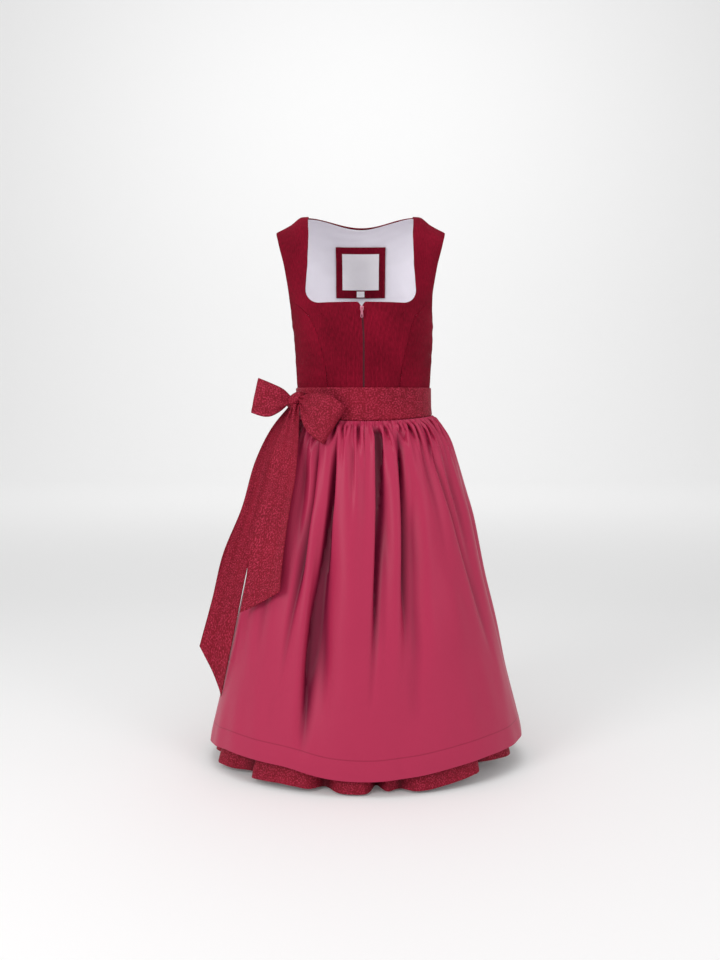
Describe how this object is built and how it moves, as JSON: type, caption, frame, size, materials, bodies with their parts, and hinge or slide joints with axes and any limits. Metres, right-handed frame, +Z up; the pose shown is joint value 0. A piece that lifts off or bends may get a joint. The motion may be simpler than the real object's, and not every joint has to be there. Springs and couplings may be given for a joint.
{
  "type": "dirndl",
  "caption": "Knee-length dirndl dress with a seamed square-neck bodice, front zip, gathered skirt, and a satin apron whose patterned waistband ties in a side bow.",
  "frame": {"origin": "midway between the shoulder seams, at the height of the neck points", "axes": "+Z up, the front faces -Y, and the wearer's right side with the bow is towards -X"},
  "size_m": [0.6761, 0.4927, 1.116],
  "materials": {
    "corduroy": "fine corded, dark red",
    "lining": "smooth pale lilac-white",
    "jacquard": "patterned weave, red",
    "apron_satin": "satin, raspberry",
    "label": "woven, bare white",
    "zip_tape": "ribbed, dark red",
    "zip_metal": "gloss, rose"
  },
  "bodies": {
    "garment": {"bodice_front_right": "corduroy", "bodice_front_left": "corduroy", "bodice_side_front_right": "corduroy", "bodice_side_front_left": "corduroy", "bodice_side_back_right": "corduroy", "bodice_side_back_left": "corduroy", "bodice_back": "corduroy", "lining_front_right": "lining", "lining_front_left": "lining", "lining_back": "lining", "label_square": "corduroy", "label": "label", "size_tab": "label", "skirt_front": "jacquard", "skirt_back": "jacquard", "apron": "apron_satin", "zip_tape": "zip_tape", "zip_chain": "zip_tape", "zip_slider": "zip_metal", "apron_band": "jacquard", "tie_round_back": "jacquard", "bow_knot": "jacquard", "bow_loop_left": "jacquard", "bow_loop_right": "jacquard", "tie_tail_front": "jacquard", "tie_tail_back": "jacquard"},
    "zip_pull": {"zip_pull": "zip_metal"}
  },
  "joints": [
    {"name": "zip_pull_hinge", "type": "hinge", "parent": "garment", "child": "zip_pull", "pos_m": [0.00229, -0.13361, -0.1929], "axis": [-1, 0, 0], "range_deg": [0, 150]}
  ]
}
